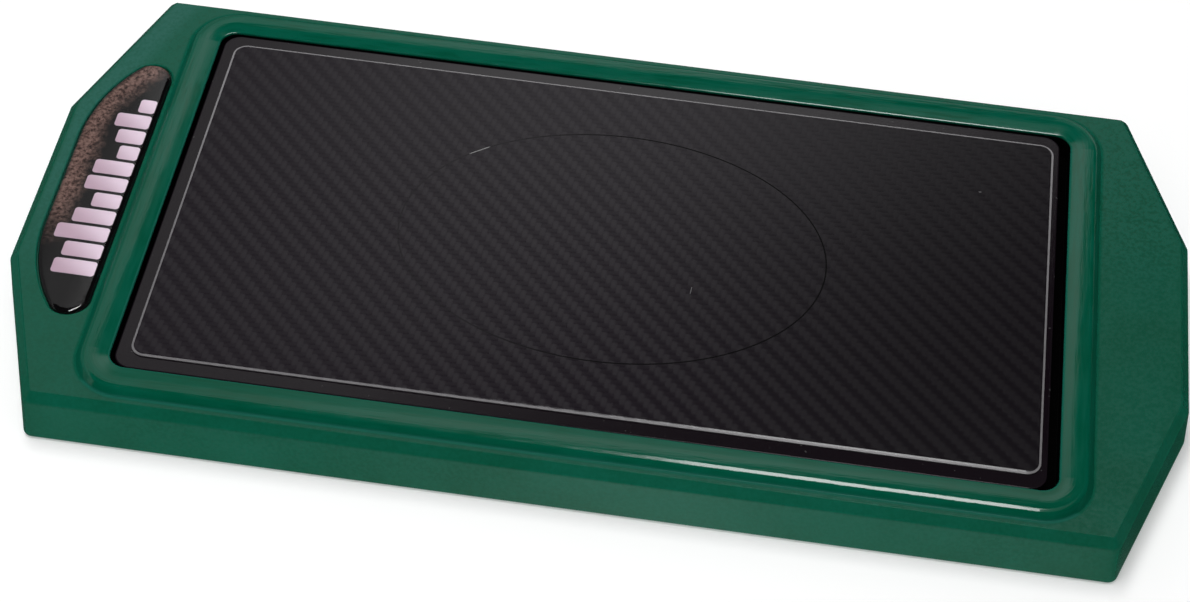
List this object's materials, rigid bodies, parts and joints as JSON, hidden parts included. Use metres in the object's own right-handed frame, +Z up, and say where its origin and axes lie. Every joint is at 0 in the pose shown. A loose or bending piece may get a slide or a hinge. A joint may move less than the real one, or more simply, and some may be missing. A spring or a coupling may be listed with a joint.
{
  "type": "drum practice pad",
  "caption": "Long tray-shaped practice pad for drumsticks: a moulded tray with a raised rail holds a rubber pad with a hard twill-patterned face, and a domed badge sits in one end tab.",
  "frame": {"origin": "centre of the footprint, on the surface the pad rests on", "axes": "+X along the length towards the plain end tab, the badge is at -X; +Z up out of the playing face"},
  "size_m": [0.3374, 0.1654, 0.0184],
  "materials": {
    "green_shell": "satin moulded polyurethane, grained on the tabs, glossy on the rail",
    "black_rubber": "matte cut sheet",
    "twill_laminate": "satin face over a dark twill, pale cut edge",
    "adhesive": "black double-sided film",
    "badge_ink": "printed film",
    "clear_resin": "clear poured resin dome",
    "base_rubber": "fine-ribbed non-slip sheet"
  },
  "bodies": {
    "root": {"moulded_tray": "green_shell", "pad_glue_sheet": "adhesive", "rubber_pad": "black_rubber", "face_glue_film": "adhesive", "laminate_face": "twill_laminate", "badge_glue_film": "adhesive", "badge_print": "badge_ink", "badge_dome": "clear_resin", "base_glue_sheet": "adhesive", "non_slip_sheet": "base_rubber"}
  },
  "joints": []
}
